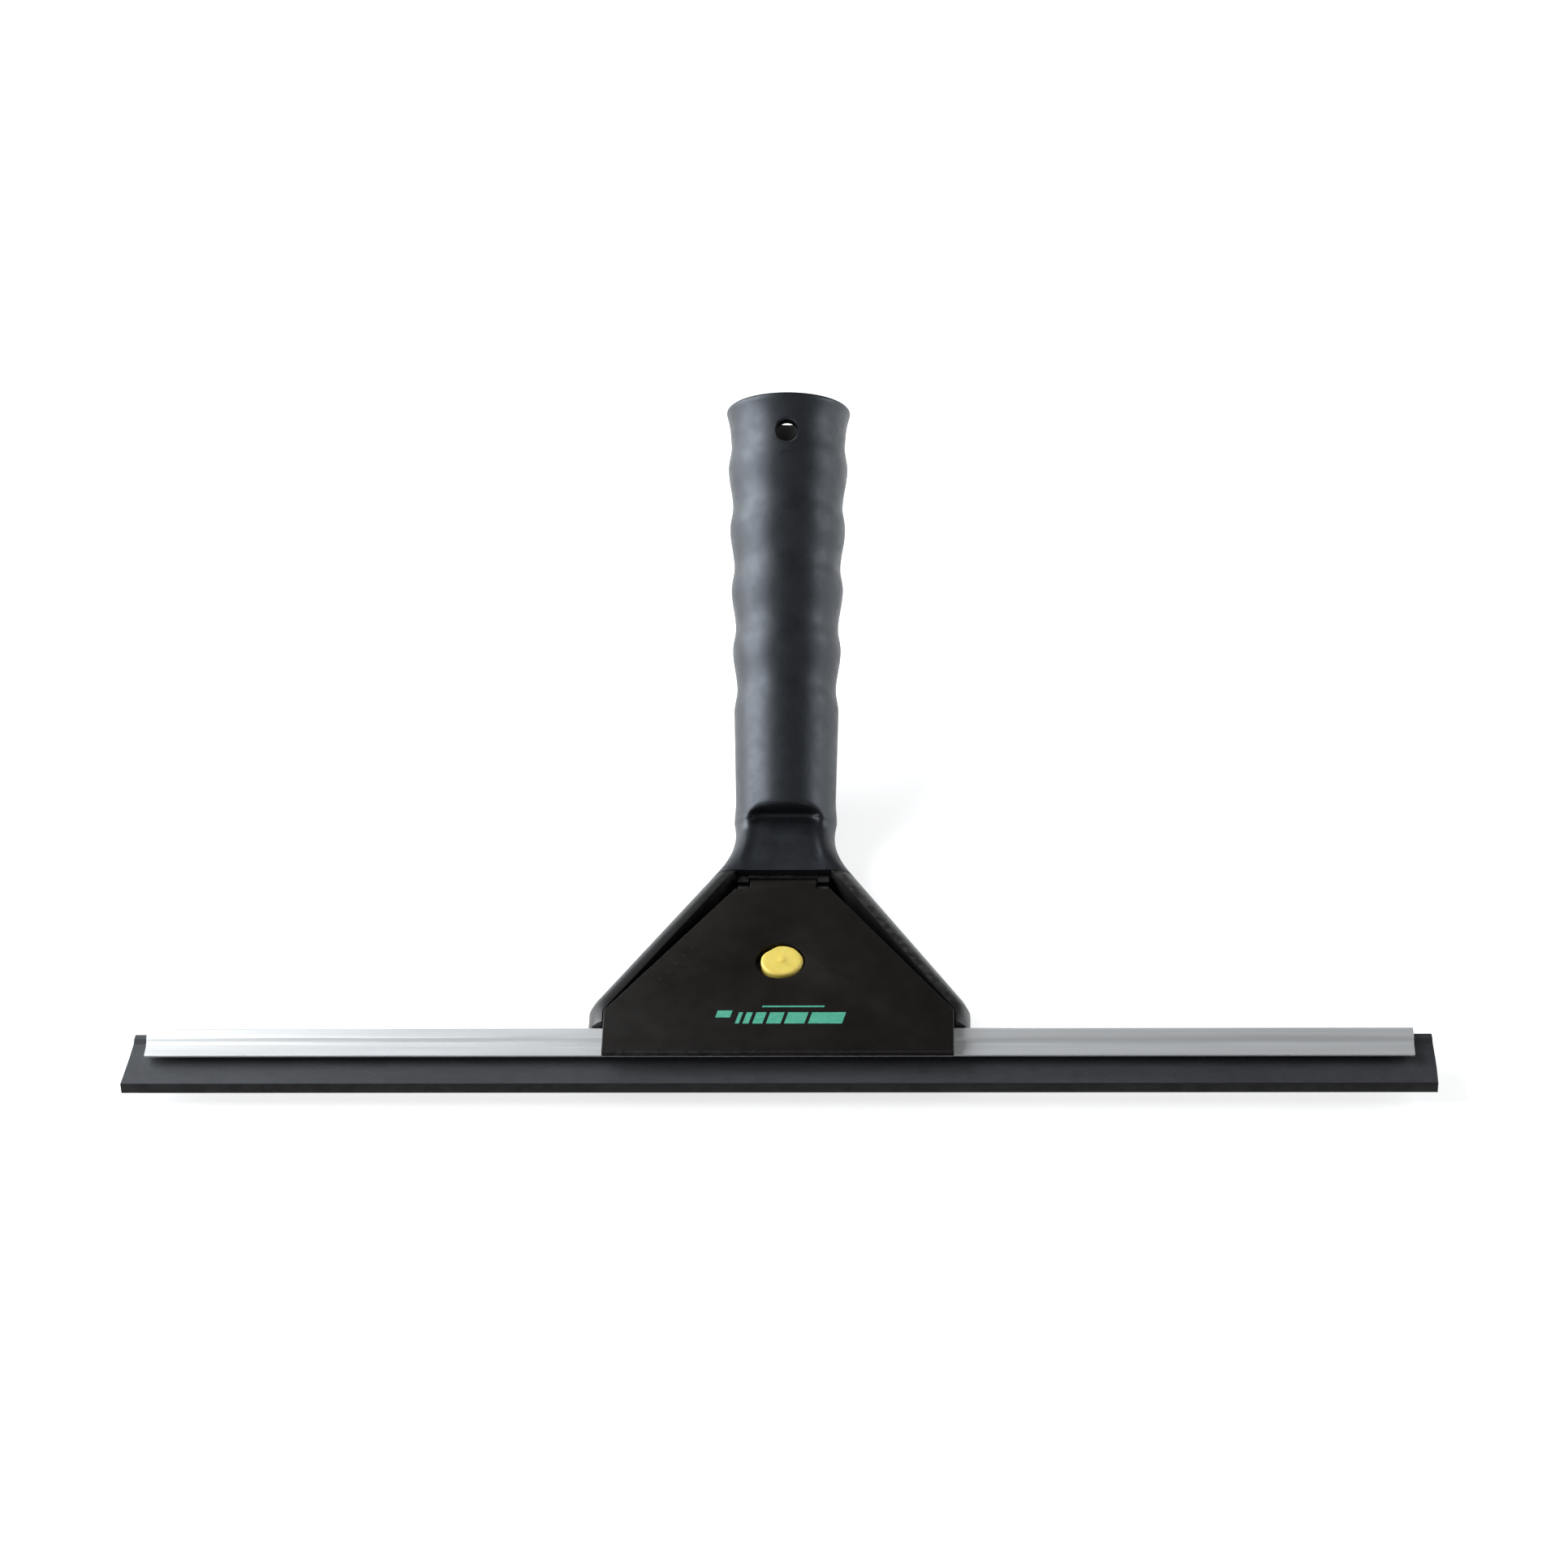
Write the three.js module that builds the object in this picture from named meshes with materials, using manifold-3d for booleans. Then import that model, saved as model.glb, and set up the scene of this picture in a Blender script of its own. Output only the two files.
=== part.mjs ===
// A window squeegee: a hollow handle with a clamp head, an aluminium channel and a rubber blade.
//
// The head frame is used while building, in millimetres: X runs along the channel, Y runs from the
// blade towards the handle, and Z comes out of the front of the head. Y is 0 at the channel's top
// edge and Z is 0 at the middle of the channel. The finished group is moved so that the squeegee
// lies on its back with the middle of its base at the origin.

import * as THREE from "three";
import { mergeVertices } from "three/addons/utils/BufferGeometryUtils.js";
import Module from "manifold-3d";

const wasm = await Module();
wasm.setup();

// ---- Driving dimensions -------------------------------------------------------------------

const GAP = 0.3; // clearance between neighbouring pieces

// Blade and channel
const CHANNEL_LENGTH = 350;
const CHANNEL_HEIGHT = 11.2;
const BLADE_LENGTH = 362;
const LIP_Y = -19.9;

// Head
const BACK_Z = -7; // the flat back that the squeegee lies on
const RAIL_Z = 6; // top of the rails
const HEAD_HALF_WIDTH = 53;
const JAW_END_Y = -12;
const JAW_FRONT_Z = -4.6;
const POCKET_FLOOR_Z = -3.8;
const RAIL_START_Y = 0.4;
const RAIL_CORNER_Y = 9.6;
const RAIL_SLANT = THREE.MathUtils.degToRad(31.9); // rails lean in by this much from the Y axis
const RAIL_WIDTH = 6.2;
const RAIL_END_WIDTH = 4.1; // beside the channel
const RAIL_BEVEL = 1.3; // along the back
const RAIL_ROUND = 5.6; // how far in the rounding of the rails' outer sides reaches
const RAIL_ROUND_DEPTH = 6.5;
const CORNER_RADIUS = 4;
const RIB_THICKNESS = 1.4;
const RIB_TOP_Z = 2.4;
const ROOT = 0.4; // how deep ribs and posts reach into the wall that they stand on
const TRAY_END_Y = 60.7; // the hard head ends here and the soft grip begins
const GRIP_GAP_Y = TRAY_END_Y + GAP;

// Neck
const NECK_HALF_WIDTH = 14.15;
const NECK_FILLET = 30;
const NECK_BEVEL = 3.5;
const NECK_ROUND = 5.6;
const BEND = THREE.MathUtils.degToRad(31.5); // angle between the head and the handle
const BEND_Y = 86;
const TONGUE_HALF_WIDTH = 10;
const TONGUE_LOW_Z = -5;
const TONGUE_HIGH_Z = 3.7;
const TONGUE_START_Y = 59.9;
const TONGUE_END_Y = 93;

// Handle, measured along its own axis from the bend
const HANDLE_LENGTH = 125;
const GRIP_START = 33.1; // first crest of the finger waves
const WAVE_PITCH = 18.4;
const WAVE_HEIGHT = 0.5;
const WAVE_TROUGH = 0.39; // where the trough lies between one crest and the next
const WAVE_MEAN_START = 14.5;
const WAVE_MEAN_SLOPE = 0.031;
const FLARE_START = 116.5;
const RIM_RADIUS = 18;
const RIM_ROUND = 1.1;
const CORE_START = 3;
const CORE_RADIUS_START = 12.2;
const CORE_RADIUS_END = 14.6;
const BORE_START = 14;
const BORE_STEP = 58;
const BORE_RADII = [9.6, 10.4, 11.4, 12.4]; // start, below the step, above it, mouth
const HANG_HOLE_ALONG = 113.7;
const HANG_HOLE_RADIUS = 3.4;

// Clamp flap and its hinge
const FLAP_FRONT_Z = 6.7;
const FLAP_BACK_Z = 4.4;
const FLAP_HALF_WIDTH = 48.5;
const FLAP_LIP_Y = -12;
const FLAP_CORNER_Y = 4;
const FLAP_TOP_Y = 52.6;
const FLAP_TOP_HALF_WIDTH = 13.4;
const FLAP_BEVEL = 0.35;
const FLAP_RIB_LOW_Z = 3;
const STUD_Y = 47.5; // the stud that holds the flap's spring
const STUD_RADIUS = 1.2;
const STUD_HEIGHT = 1.8;
const STRIP_THICKNESS = 0.5;
const STRIP_HALF_WIDTH = 3.5;
const HINGE_Y = 57;
const HINGE_Z = 2.2;
const BARREL_RADIUS = 2.5;
const BARREL_HALF_LENGTH = 9.3;
const PIN_RADIUS = 1.2;
const PIN_HALF_LENGTH = 12.8;
const EAR_INNER_X = 9.8;
const EAR_OUTER_X = 12.9;

// Release button and its well
const BUTTON_Y = 23.3;
const BUTTON_OFFSET_X = 0.5;
const FLAP_HOLE_RADIUS = 7;
const BUTTON_RADIUS = 5.9;
const BUTTON_TOP_Z = 7.3;
const BUTTON_ROUND = 1.1;
const BUTTON_FLANGE_RADIUS = 7;
const WELL_RADIUS = 7.4;
const WELL_WALL = 1.6;
const WELL_TOP_Z = 3.2;
const WELL_LIP_Z = 1.6;
const SPRING_RADIUS = 3.4;
const SPRING_WIRE_RADIUS = 0.45;
const SPRING_TURNS = 5;

// Back cover and its screws
const COVER_HALF_WIDTH = 20;
const COVER_LOW_Y = 6.3;
const COVER_HIGH_Y = 40.3;
const COVER_RECESS_Z = -5;
const COVER_OUTER_Z = -6.9;
const COVER_INNER_Z = -5.3;
const SCREW_X = 15.5;
const SCREW_LOW_Y = 10.5;
const SCREW_HIGH_Y = 36;
const POST_RADIUS = 2.8;
const POST_TOP_Z = 2.5;
const PILOT_RADIUS = 1.25;

// Jaw pads
const PAD_X = 30;
const PAD_SIZE = new THREE.Vector3(16, 7, 1);
const PAD_TOP_Z = -4.45;
const PAD_Y = -6;

// ---- Solids ---------------------------------------------------------------------------------

// Turns a closed geometry into a solid that can be cut and joined.
function solid(geometry) {
  const bare = geometry.clone();
  bare.deleteAttribute("normal");
  bare.deleteAttribute("uv");
  const merged = mergeVertices(bare, 1e-4);
  return new wasm.Manifold(
    new wasm.Mesh({
      numProp: 3,
      vertProperties: new Float32Array(merged.attributes.position.array),
      triVerts: new Uint32Array(merged.index.array),
    }),
  );
}

function geometryOf(body) {
  const mesh = body.getMesh();
  const geometry = new THREE.BufferGeometry();
  geometry.setAttribute("position", new THREE.BufferAttribute(mesh.vertProperties, 3));
  geometry.setIndex(new THREE.BufferAttribute(mesh.triVerts, 1));
  geometry.computeVertexNormals();
  return geometry;
}

function joined(first, ...others) {
  return others.reduce((whole, piece) => whole.add(piece), first);
}

function cut(whole, ...tools) {
  return tools.reduce((rest, tool) => rest.subtract(tool), whole);
}

function block(lowX, highX, lowY, highY, lowZ, highZ) {
  const box = new THREE.BoxGeometry(highX - lowX, highY - lowY, highZ - lowZ);
  box.translate((lowX + highX) / 2, (lowY + highY) / 2, (lowZ + highZ) / 2);
  return solid(box);
}

// A flat outline in X and Y, raised from lowZ to highZ. A bevel rounds its long edges.
function plate(outline, lowZ, highZ, bevel = 0, bevelDepth = bevel, bevelSegments = 3) {
  const geometry = new THREE.ExtrudeGeometry(outline, {
    depth: highZ - lowZ - 2 * bevelDepth,
    bevelEnabled: bevel > 0,
    bevelThickness: bevelDepth,
    bevelSize: bevel,
    bevelOffset: -bevel,
    bevelSegments,
  });
  geometry.translate(0, 0, lowZ + bevelDepth);
  return solid(geometry);
}

// The head's outline as a slab: its front edges are widely rounded and its back edges bevelled.
function headSlab(frontRound, backBevel) {
  const margin = 2 * RAIL_ROUND_DEPTH; // keeps the far side of each plate out of the way
  const front = plate(headOutline(), BACK_Z - margin, RAIL_Z, frontRound, RAIL_ROUND_DEPTH, 6);
  const back = plate(headOutline(), BACK_Z, RAIL_Z + margin, backBevel);
  return front.intersect(back);
}

// A profile in Y and Z, drawn out along X from lowX to highX.
function bar(profile, lowX, highX) {
  const geometry = new THREE.ExtrudeGeometry(profile, { depth: highX - lowX, bevelEnabled: false });
  const alongX = new THREE.Matrix4().makeBasis(
    new THREE.Vector3(0, 1, 0),
    new THREE.Vector3(0, 0, 1),
    new THREE.Vector3(1, 0, 0),
  );
  geometry.applyMatrix4(alongX);
  geometry.translate(lowX, 0, 0);
  return solid(geometry);
}

// A profile of [radius, z] points turned about a line along Z through (x, y).
function turned(profile, x, y, segments = 32) {
  const points = profile.map(([radius, height]) => new THREE.Vector2(radius, height));
  const geometry = new THREE.LatheGeometry(points, segments);
  geometry.rotateX(Math.PI / 2);
  geometry.translate(x, y, 0);
  return solid(geometry);
}

// A round block from lowZ to highZ.
function disc(radius, lowZ, highZ, x, y, segments = 32) {
  return turned(
    [
      [0, lowZ],
      [radius, lowZ],
      [radius, highZ],
      [0, highZ],
    ],
    x,
    y,
    segments,
  );
}

// A profile of [radius, distance] points turned about the handle's axis.
function turnedOnHandle(profile, segments = 36) {
  const points = profile.map(([radius, along]) => new THREE.Vector2(radius, along));
  const geometry = new THREE.LatheGeometry(points, segments);
  geometry.applyMatrix4(handlePlace());
  return solid(geometry);
}

function handlePlace() {
  return new THREE.Matrix4().makeRotationX(BEND).setPosition(0, BEND_Y, 0);
}

// A round rod along X.
function rodX(radius, lowX, highX, y, z, segments = 20) {
  const geometry = new THREE.CylinderGeometry(radius, radius, highX - lowX, segments);
  geometry.rotateZ(Math.PI / 2);
  geometry.translate((lowX + highX) / 2, y, z);
  return solid(geometry);
}

function outlineOf(points) {
  return new THREE.Shape(points.map(([x, y]) => new THREE.Vector2(x, y)));
}

// The right half of an outline, from bottom to top, closed with its mirror image.
function mirrored(right) {
  const left = right
    .filter(([x]) => x > 0)
    .map(([x, y]) => [-x, y])
    .reverse();
  return outlineOf([...right, ...left]);
}

function arc(centreX, centreY, radius, startDegrees, endDegrees, steps) {
  return Array.from({ length: steps + 1 }, (_, step) => {
    const angle = THREE.MathUtils.degToRad(startDegrees + ((endDegrees - startDegrees) * step) / steps);
    return [centreX + radius * Math.cos(angle), centreY + radius * Math.sin(angle)];
  });
}

// A strip of even thickness along a line of [y, z] points.
function strip(points, thickness) {
  const side = (sign) =>
    points.map(([y, z], index) => {
      const before = points[Math.max(index - 1, 0)];
      const after = points[Math.min(index + 1, points.length - 1)];
      const run = new THREE.Vector2(after[0] - before[0], after[1] - before[1]).normalize();
      return [y - (sign * run.y * thickness) / 2, z + (sign * run.x * thickness) / 2];
    });
  return outlineOf([...side(-1), ...side(1).reverse()]);
}

// ---- Shared outlines ------------------------------------------------------------------------

// Outer X of the rails at a height Y.
function railX(y) {
  return HEAD_HALF_WIDTH - (y - RAIL_CORNER_Y) * Math.tan(RAIL_SLANT);
}

// The head and the neck seen from the front.
function headOutline() {
  const slant = THREE.MathUtils.radToDeg(RAIL_SLANT);
  const meetY = RAIL_CORNER_Y + (HEAD_HALF_WIDTH - NECK_HALF_WIDTH) / Math.tan(RAIL_SLANT);
  const filletY = meetY + NECK_FILLET * Math.tan(RAIL_SLANT / 2);
  const filletX = NECK_HALF_WIDTH + NECK_FILLET;
  return mirrored([
    [HEAD_HALF_WIDTH - CORNER_RADIUS, JAW_END_Y],
    [HEAD_HALF_WIDTH, JAW_END_Y + CORNER_RADIUS],
    [HEAD_HALF_WIDTH, RAIL_CORNER_Y - 1.5],
    [railX(RAIL_CORNER_Y + 1.5) - 0.3, RAIL_CORNER_Y + 1.5],
    ...arc(filletX, filletY, NECK_FILLET, 180 + slant, 180, 8),
    ...arc(0, BEND_Y, NECK_HALF_WIDTH, 0, 90, 8),
  ]);
}

// The hollow inside the rails.
function pocketOutline() {
  const inset = RAIL_WIDTH / Math.cos(RAIL_SLANT);
  const endX = HEAD_HALF_WIDTH - RAIL_END_WIDTH;
  const shoulderY = 57;
  return mirrored([
    [endX, JAW_END_Y - 1],
    [endX, RAIL_CORNER_Y - (inset - RAIL_END_WIDTH) / Math.tan(RAIL_SLANT)],
    [railX(shoulderY) - inset, shoulderY],
    [BARREL_HALF_LENGTH + 3.6, TRAY_END_Y + 1],
  ]);
}

// Grip radius at a distance along the handle: a taper, then finger waves, then a flared rim.
function gripRadius(along) {
  const crest = WAVE_MEAN_START + WAVE_HEIGHT;
  if (along < GRIP_START) {
    return THREE.MathUtils.lerp(NECK_HALF_WIDTH, crest, along / GRIP_START);
  }
  const waveEnd = Math.min(along, FLARE_START);
  const turns = (waveEnd - GRIP_START) / WAVE_PITCH;
  const part = turns - Math.floor(turns);
  const phase =
    part < WAVE_TROUGH ? (0.5 * part) / WAVE_TROUGH : 0.5 + (0.5 * (part - WAVE_TROUGH)) / (1 - WAVE_TROUGH);
  const mean = WAVE_MEAN_START + WAVE_MEAN_SLOPE * (waveEnd - GRIP_START);
  const waved = mean + WAVE_HEIGHT * Math.cos(2 * Math.PI * phase);
  if (along <= FLARE_START) {
    return waved;
  }
  const flare = (along - FLARE_START) / (HANDLE_LENGTH - RIM_ROUND - FLARE_START);
  return waved + (RIM_RADIUS - waved) * Math.min(flare, 1) ** 1.7;
}

function coreRadius(along) {
  return THREE.MathUtils.lerp(CORE_RADIUS_START, CORE_RADIUS_END, along / HANDLE_LENGTH);
}

// The stiff inner tube and the tongue that ties it to the head, grown outwards by a margin.
function innerFrame(margin) {
  const tube = turnedOnHandle([
    [0, CORE_START - margin],
    [coreRadius(CORE_START) + margin, CORE_START - margin],
    [coreRadius(HANDLE_LENGTH) + margin, HANDLE_LENGTH + margin],
    [0, HANDLE_LENGTH + margin],
  ]);
  const tongue = block(
    -TONGUE_HALF_WIDTH - margin,
    TONGUE_HALF_WIDTH + margin,
    TONGUE_START_Y,
    TONGUE_END_Y + margin,
    TONGUE_LOW_Z - margin,
    TONGUE_HIGH_Z + margin,
  );
  const below = block(-60, 60, 0, 240, -40, TONGUE_LOW_Z - margin);
  return cut(tube.add(tongue), below);
}

// The hole through the front wall of the handle near its end.
function hangingHole() {
  const geometry = new THREE.CylinderGeometry(HANG_HOLE_RADIUS, HANG_HOLE_RADIUS, 2 * RIM_RADIUS, 24);
  geometry.rotateX(Math.PI / 2);
  geometry.translate(0, HANG_HOLE_ALONG, RIM_RADIUS);
  geometry.applyMatrix4(handlePlace());
  return solid(geometry);
}

function screwPlaces() {
  return [
    [-SCREW_X, SCREW_LOW_Y],
    [SCREW_X, SCREW_LOW_Y],
    [-SCREW_X, SCREW_HIGH_Y],
    [SCREW_X, SCREW_HIGH_Y],
  ];
}

function coverOutline(margin) {
  const corner = 5;
  const halfWidth = COVER_HALF_WIDTH + margin;
  return mirrored([
    ...arc(halfWidth - corner, COVER_LOW_Y - margin + corner, corner, 270, 360, 5),
    ...arc(halfWidth - corner, COVER_HIGH_Y + margin - corner, corner, 0, 90, 5),
  ]);
}

// ---- Pieces ---------------------------------------------------------------------------------

// One ear of the flap's hinge. The pin snaps into it from the front.
function hingeEar(side) {
  const [low, high] = side > 0 ? [EAR_INNER_X, EAR_OUTER_X] : [-EAR_OUTER_X, -EAR_INNER_X];
  const ear = block(low, high, HINGE_Y - 2.4, TONGUE_START_Y + 0.4, POCKET_FLOOR_Z - 0.4, 4);
  const seat = rodX(PIN_RADIUS + GAP, low - 1, high + 1, HINGE_Y, HINGE_Z);
  const mouth = block(low - 1, high + 1, HINGE_Y - 1, HINGE_Y + 1, HINGE_Z, 8);
  return cut(ear, seat, mouth);
}

// The round well that guides the button, with a lip at its top that keeps the button in.
function buttonWell() {
  return disc(WELL_RADIUS + WELL_WALL, COVER_RECESS_Z + 0.1, WELL_TOP_Z, 0, BUTTON_Y);
}

function buttonWellHollow() {
  return turned(
    [
      [0, BACK_Z - 1],
      [WELL_RADIUS, BACK_Z - 1],
      [WELL_RADIUS, WELL_LIP_Z],
      [BUTTON_RADIUS + 0.5, WELL_LIP_Z],
      [BUTTON_RADIUS + 0.5, WELL_TOP_Z + 1],
      [0, WELL_TOP_Z + 1],
    ],
    BUTTON_OFFSET_X,
    BUTTON_Y,
  );
}

// A post for a cover screw, and the pilot hole that goes up into it from the back.
function screwPost([x, y]) {
  return disc(POST_RADIUS, COVER_RECESS_Z + 0.1, POST_TOP_Z, x, y, 20);
}

function screwPilot([x, y]) {
  return disc(PILOT_RADIUS, BACK_Z, POST_TOP_Z - 0.6, x, y, 16);
}

function handleCore() {
  const shell = headSlab(RAIL_ROUND, RAIL_BEVEL);
  const pocket = plate(pocketOutline(), POCKET_FLOOR_Z, RAIL_Z + 4);
  const channelSeat = block(-60, 60, JAW_END_Y - 2, RAIL_START_Y, JAW_FRONT_Z, RAIL_Z + 4);
  const beyond = block(-60, 60, TRAY_END_Y, 140, BACK_Z - 2, RAIL_Z + 4);
  const tray = cut(shell, pocket, channelSeat, beyond);

  const low = POCKET_FLOOR_Z - ROOT;
  const ribs = [
    block(22, 44, 3, 3 + RIB_THICKNESS, low, RIB_TOP_Z),
    block(-44, -22, 3, 3 + RIB_THICKNESS, low, RIB_TOP_Z),
    block(27, 27 + RIB_THICKNESS, 4, 30, low, RIB_TOP_Z),
    block(-27 - RIB_THICKNESS, -27, 4, 30, low, RIB_TOP_Z),
  ];
  const springStud = disc(STUD_RADIUS, low, POCKET_FLOOR_Z + STUD_HEIGHT, 0, STUD_Y, 16);
  const [startRadius, lowStepRadius, highStepRadius, mouthRadius] = BORE_RADII;
  const bore = turnedOnHandle([
    [0, BORE_START],
    [startRadius, BORE_START],
    [lowStepRadius, BORE_STEP],
    [highStepRadius, BORE_STEP + 0.6],
    [mouthRadius, HANDLE_LENGTH + 1],
    [0, HANDLE_LENGTH + 1],
  ]);
  const whole = joined(
    tray,
    innerFrame(0),
    hingeEar(-1),
    hingeEar(1),
    buttonWell(),
    springStud,
    ...ribs,
    ...screwPlaces().map(screwPost),
  );
  return cut(
    whole,
    bore,
    hangingHole(),
    buttonWellHollow(),
    plate(coverOutline(GAP), BACK_Z - 1, COVER_RECESS_Z),
    ...screwPlaces().map(screwPilot),
    padBlock(-1, GAP, PAD_TOP_Z + 1),
    padBlock(1, GAP, PAD_TOP_Z + 1),
  );
}

// A pad in the back jaw, grown sideways and downwards by a margin, up to topZ.
function padBlock(side, margin, topZ) {
  return block(
    side * PAD_X - PAD_SIZE.x / 2 - margin,
    side * PAD_X + PAD_SIZE.x / 2 + margin,
    PAD_Y - PAD_SIZE.y / 2 - margin,
    PAD_Y + PAD_SIZE.y / 2 + margin,
    PAD_TOP_Z - PAD_SIZE.z - margin,
    topZ,
  );
}

function jawPad(side) {
  return padBlock(side, 0, PAD_TOP_Z);
}

function gripSleeve() {
  const step = 2.3;
  const waves = [];
  for (let along = 0; along < FLARE_START; along += step) {
    waves.push([gripRadius(along), along]);
  }
  const flare = [0, 2.4, 4.4, 6, HANDLE_LENGTH - RIM_ROUND - FLARE_START].map((more) => [
    gripRadius(FLARE_START + more),
    FLARE_START + more,
  ]);
  const rim = [
    [RIM_RADIUS - 0.3, HANDLE_LENGTH - 0.3],
    [RIM_RADIUS - RIM_ROUND, HANDLE_LENGTH],
    [0, HANDLE_LENGTH],
  ];
  const tube = turnedOnHandle([[0, 0], ...waves, ...flare, ...rim]);
  const neck = headSlab(NECK_ROUND, NECK_BEVEL);
  const head = block(-60, 60, JAW_END_Y - 2, GRIP_GAP_Y, -20, 20);
  const below = block(-60, 60, JAW_END_Y, 240, -40, BACK_Z);
  return cut(joined(cut(neck, head), tube), below, innerFrame(GAP), hangingHole());
}

function clampFlap() {
  const outline = mirrored([
    [FLAP_HALF_WIDTH, FLAP_LIP_Y],
    [FLAP_HALF_WIDTH, FLAP_CORNER_Y],
    [FLAP_TOP_HALF_WIDTH, FLAP_TOP_Y],
  ]);
  const face = plate(outline, FLAP_BACK_Z, FLAP_FRONT_Z, FLAP_BEVEL);
  const arm = bar(
    outlineOf([
      [49, 4.6],
      [49, 3.4],
      [53, 2],
      [HINGE_Y, 0.4],
      [HINGE_Y, 4.6],
    ]),
    -BARREL_HALF_LENGTH,
    BARREL_HALF_LENGTH,
  );
  const barrel = rodX(BARREL_RADIUS, -BARREL_HALF_LENGTH, BARREL_HALF_LENGTH, HINGE_Y, HINGE_Z, 24);
  const ribTop = FLAP_BACK_Z + ROOT;
  const ribs = [
    block(-41, 41, 5, 5 + RIB_THICKNESS, FLAP_RIB_LOW_Z, ribTop),
    block(-18, 18, 40.5, 40.5 + RIB_THICKNESS, FLAP_RIB_LOW_Z, ribTop),
    block(-20 - RIB_THICKNESS, -20, 5.5, 33, FLAP_RIB_LOW_Z, ribTop),
    block(20, 20 + RIB_THICKNESS, 5.5, 33, FLAP_RIB_LOW_Z, ribTop),
  ];
  const hole = disc(FLAP_HOLE_RADIUS, 0, 10, 0, BUTTON_Y, 40);
  const pinHole = rodX(PIN_RADIUS + GAP, -20, 20, HINGE_Y, HINGE_Z);
  return cut(joined(face, arm, barrel, ...ribs), hole, pinHole);
}

function hingePin() {
  return rodX(PIN_RADIUS, -PIN_HALF_LENGTH, PIN_HALF_LENGTH, HINGE_Y, HINGE_Z);
}

// A bent steel strip that lifts the flap once the button lets it go.
function flapSpring() {
  const footZ = POCKET_FLOOR_Z + GAP + STRIP_THICKNESS / 2;
  const line = [
    [52, footZ],
    [49, footZ],
    [46, footZ],
    [44.4, footZ + 0.35],
    [43, footZ + 1.5],
    [39.8, 2.4],
    [38.6, 3.3],
    [37.2, 3.65],
    [35.6, 3.5],
    [34, 2.9],
  ];
  const stripBody = bar(strip(line, STRIP_THICKNESS), -STRIP_HALF_WIDTH, STRIP_HALF_WIDTH);
  return cut(stripBody, disc(STUD_RADIUS + GAP, footZ - 1, footZ + 1, 0, STUD_Y, 16));
}

function releaseButton() {
  const rounding = arc(BUTTON_RADIUS - BUTTON_ROUND, BUTTON_TOP_Z - BUTTON_ROUND, BUTTON_ROUND, 0, 90, 5);
  const button = turned(
    [
      [0, 4.5],
      [4.4, 4.5],
      [4.4, -1.2],
      [BUTTON_FLANGE_RADIUS, -1.2],
      [BUTTON_FLANGE_RADIUS, WELL_LIP_Z - GAP],
      [BUTTON_RADIUS, WELL_LIP_Z - GAP],
      ...rounding,
      [0, BUTTON_TOP_Z],
    ],
    0,
    0,
    40,
  );
  const flats = [35, 139].map((degrees) => {
    const flat = new THREE.BoxGeometry(4, 20, 6);
    flat.translate(5.4 + 2, 0, WELL_TOP_Z + 1 + 3);
    flat.rotateZ(THREE.MathUtils.degToRad(degrees));
    return solid(flat);
  });
  return cut(button, ...flats).translate([BUTTON_OFFSET_X, BUTTON_Y, 0]);
}

class Helix extends THREE.Curve {
  constructor(radius, low, high, turns) {
    super();
    Object.assign(this, { radius, low, high, turns });
  }

  getPoint(part, target = new THREE.Vector3()) {
    const angle = 2 * Math.PI * this.turns * part;
    const closing = THREE.MathUtils.smoothstep(part, 0.12, 0.88);
    const height = THREE.MathUtils.lerp(this.low, this.high, THREE.MathUtils.lerp(part, closing, 0.35));
    return target.set(this.radius * Math.cos(angle), this.radius * Math.sin(angle), height);
  }
}

function buttonSpring() {
  const low = COVER_INNER_Z + GAP + SPRING_WIRE_RADIUS;
  const high = 4.5 - GAP - SPRING_WIRE_RADIUS;
  const section = new THREE.Shape().absarc(0, 0, SPRING_WIRE_RADIUS, 0, 2 * Math.PI);
  const geometry = new THREE.ExtrudeGeometry(section, {
    steps: SPRING_TURNS * 12,
    curveSegments: 3,
    extrudePath: new Helix(SPRING_RADIUS, low, high, SPRING_TURNS),
  });
  geometry.translate(BUTTON_OFFSET_X, BUTTON_Y, 0);
  return solid(geometry);
}

function backCover() {
  const panel = plate(coverOutline(0), COVER_OUTER_Z, COVER_INNER_Z);
  const springSeat = turned(
    [
      [0, COVER_INNER_Z - 0.4],
      [2.3, COVER_INNER_Z - 0.4],
      [2.3, -2.9],
      [1.8, -2.4],
      [0, -2.4],
    ],
    BUTTON_OFFSET_X,
    BUTTON_Y,
    20,
  );
  const sinks = screwPlaces().map(([x, y]) =>
    turned(
      [
        [0, COVER_OUTER_Z - 1],
        [2.6, COVER_OUTER_Z - 1],
        [2.6, COVER_OUTER_Z],
        [1.3, COVER_OUTER_Z + 1.2],
        [1.3, COVER_INNER_Z + 1],
        [0, COVER_INNER_Z + 1],
      ],
      x,
      y,
      24,
    ),
  );
  return cut(panel.add(springSeat), ...sinks);
}

function coverScrew([x, y]) {
  const body = turned(
    [
      [0, COVER_OUTER_Z + 0.1],
      [2.2, COVER_OUTER_Z + 0.1],
      [0.95, COVER_OUTER_Z + 1.25],
      [0.95, POST_TOP_Z - 1.6],
      [0, POST_TOP_Z - 1],
    ],
    x,
    y,
    20,
  );
  const slots = [
    block(x - 1.2, x + 1.2, y - 0.25, y + 0.25, COVER_OUTER_Z - 1, COVER_OUTER_Z + 0.7),
    block(x - 0.25, x + 0.25, y - 1.2, y + 1.2, COVER_OUTER_Z - 1, COVER_OUTER_Z + 0.7),
  ];
  return cut(body, ...slots);
}

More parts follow.
